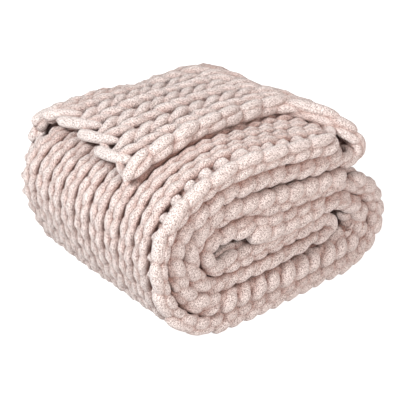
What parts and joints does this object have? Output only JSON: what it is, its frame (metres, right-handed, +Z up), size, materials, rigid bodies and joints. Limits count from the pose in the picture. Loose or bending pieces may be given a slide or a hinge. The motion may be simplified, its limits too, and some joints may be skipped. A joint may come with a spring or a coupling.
{
  "type": "throw blanket",
  "caption": "Chunky knitted chenille throw blanket, folded double and then into a loose stack, with its last layer laid back on top as a flap.",
  "frame": {"origin": "centre of the bounding box's bottom face, on the surface that the blanket rests on", "axes": "+X along the folded stack's width, +Y from the front, where the folds show, to the back, +Z up"},
  "size_m": [0.5682, 0.4556, 0.3575],
  "materials": {
    "chenille_knit": "matt, deep soft pile"
  },
  "bodies": {
    "root": {"blanket": "chenille_knit"}
  },
  "joints": []
}
